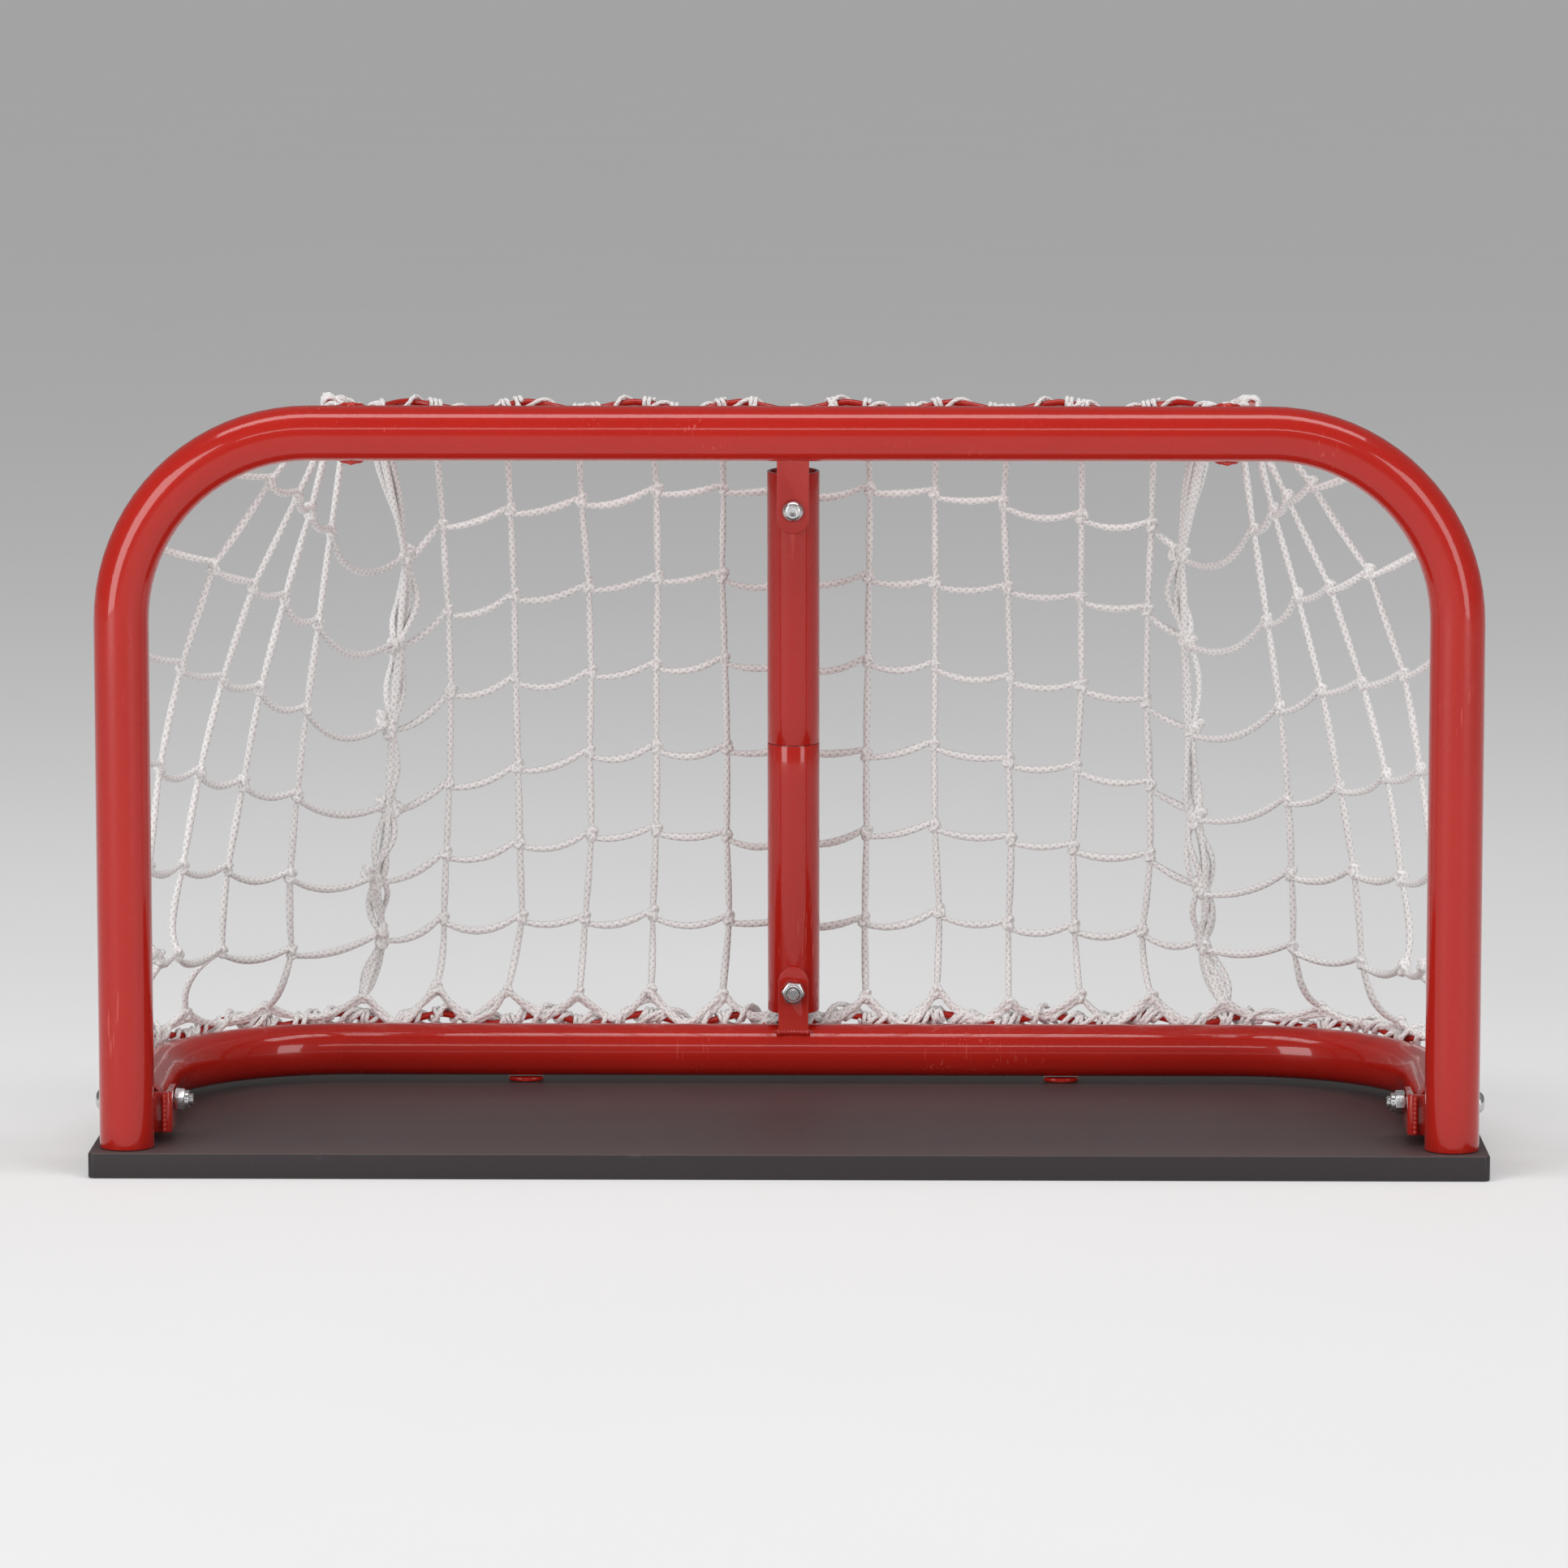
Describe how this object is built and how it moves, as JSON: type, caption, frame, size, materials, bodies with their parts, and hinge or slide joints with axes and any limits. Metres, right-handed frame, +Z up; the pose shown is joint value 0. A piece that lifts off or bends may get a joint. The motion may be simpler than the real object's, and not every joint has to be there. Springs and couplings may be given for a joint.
{
  "type": "mini hockey goal",
  "caption": "Small street and floor hockey goal: bent steel tube frame with a bolted rear brace, laced cord net and a flat base board.",
  "frame": {"origin": "on the floor under the board, midway between the posts, in the plane of the front hoop", "axes": "+X to the right seen from the mouth, +Y from the mouth to the back, +Z up"},
  "size_m": [0.6486, 0.241, 0.357],
  "materials": {
    "red_paint": "glossy red powder coat",
    "zinc_steel": "bright zinc plate",
    "net_cord": "matt braided white cord",
    "board": "satin dark board"
  },
  "bodies": {
    "frame": {"front_hoop": "red_paint", "hoop_lacing_wire_left": "red_paint", "hoop_lacing_wire_right": "red_paint", "crossbar_lacing_wire": "red_paint", "base_frame": "red_paint", "base_lacing_wire": "red_paint", "base_foot_left": "red_paint", "base_foot_right": "red_paint", "top_frame": "red_paint", "top_lacing_wire": "red_paint", "hinge_bracket_left": "red_paint", "hinge_bracket_right": "red_paint", "top_tab": "red_paint", "base_tab": "red_paint", "left_side_bolt": "zinc_steel", "left_side_nut": "zinc_steel", "right_side_bolt": "zinc_steel", "right_side_nut": "zinc_steel", "brace_top_bolt": "zinc_steel", "brace_top_nut": "zinc_steel", "brace_base_bolt": "zinc_steel", "brace_base_nut": "zinc_steel", "net_back": "net_cord", "net_left": "net_cord", "net_right": "net_cord", "net_top": "net_cord", "base_board": "board"},
    "brace": {"brace_upper_tube": "red_paint", "brace_lower_tube": "red_paint", "brace_spigot": "zinc_steel"}
  },
  "joints": [
    {"name": "brace_swing", "type": "hinge", "parent": "frame", "child": "brace", "pos_m": [0, 0.1792, 0.2953], "axis": [0, 0.9977, 0.0675], "range_deg": [0, 45]}
  ]
}
